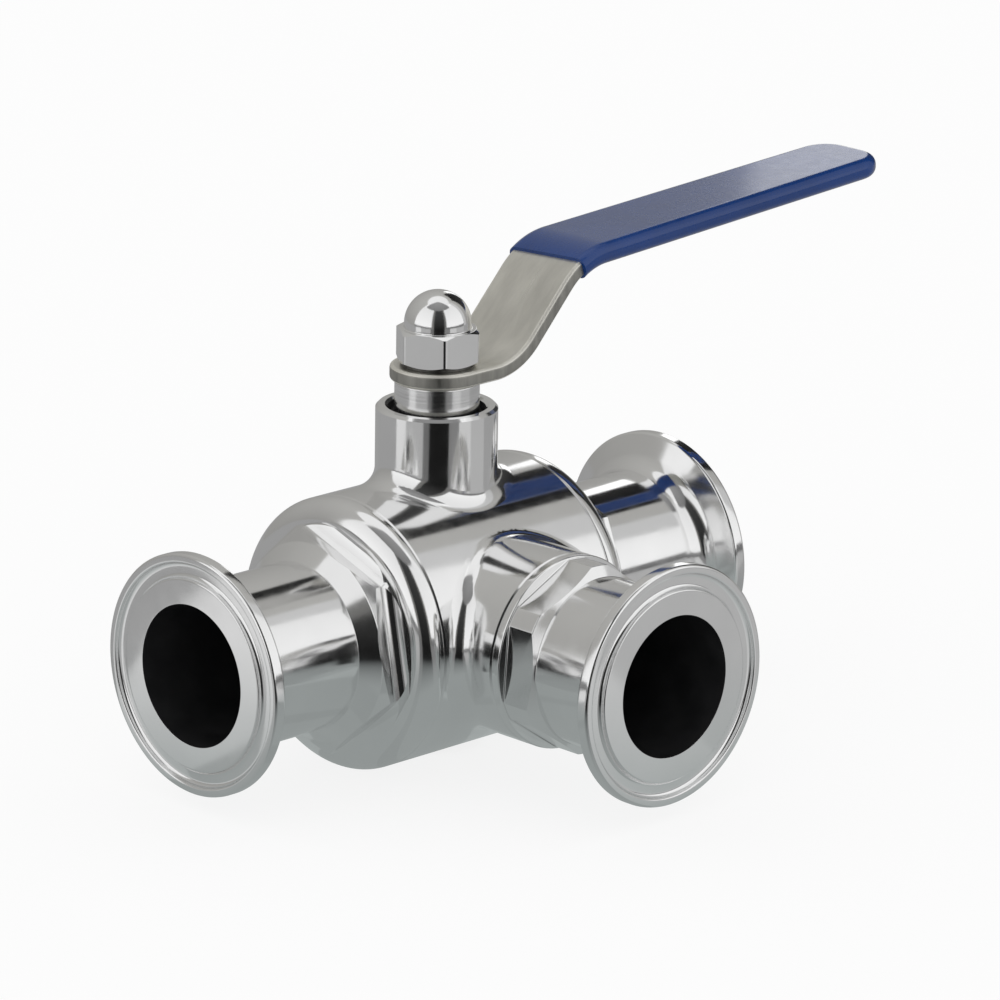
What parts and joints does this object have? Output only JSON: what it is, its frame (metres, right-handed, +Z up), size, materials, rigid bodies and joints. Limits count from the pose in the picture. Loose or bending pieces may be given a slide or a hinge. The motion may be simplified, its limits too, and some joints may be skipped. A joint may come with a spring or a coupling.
{
  "type": "three-way ball valve",
  "caption": "Polished steel three-way ball valve with clamp ferrule ports, T-bored ball, packed stem, domed nut and a cranked hand lever in a blue dipped sleeve.",
  "frame": {"origin": "centre of the branch port's clamp face", "axes": "+X along the run towards the port under the lever, -Y out of the branch port, +Z up the stem"},
  "size_m": [0.1948, 0.0988, 0.108],
  "materials": {
    "polished_steel": "mirror-polished stainless steel",
    "machined_steel": "fine-turned stainless steel",
    "strip_steel": "satin rolled stainless strip with bright sheared edges",
    "ptfe": "smooth white fluoropolymer",
    "dipped_vinyl": "soft blue dipped vinyl with a slight sheen"
  },
  "bodies": {
    "casing": {"valve_body": "polished_steel", "left_end_cap": "polished_steel", "right_end_cap": "polished_steel", "branch_end_cap": "polished_steel", "left_cap_gasket": "ptfe", "right_cap_gasket": "ptfe", "branch_cap_gasket": "ptfe", "left_seat": "ptfe", "right_seat": "ptfe", "branch_seat": "ptfe", "stem_thrust_washer": "ptfe", "packing_base_ring": "ptfe", "packing_v_ring_1": "ptfe", "packing_v_ring_2": "ptfe", "packing_v_ring_3": "ptfe", "packing_top_ring": "ptfe", "gland_follower": "machined_steel"},
    "lever_set": {"ball": "polished_steel", "stem": "machined_steel", "lever": "strip_steel", "lever_sleeve": "dipped_vinyl", "lock_washer": "machined_steel", "cap_nut": "polished_steel"}
  },
  "joints": [
    {"name": "stem_turn", "type": "hinge", "parent": "casing", "child": "lever_set", "pos_m": [0, 0.07, 0.05], "axis": [0, 0, 1], "continuous": true}
  ]
}
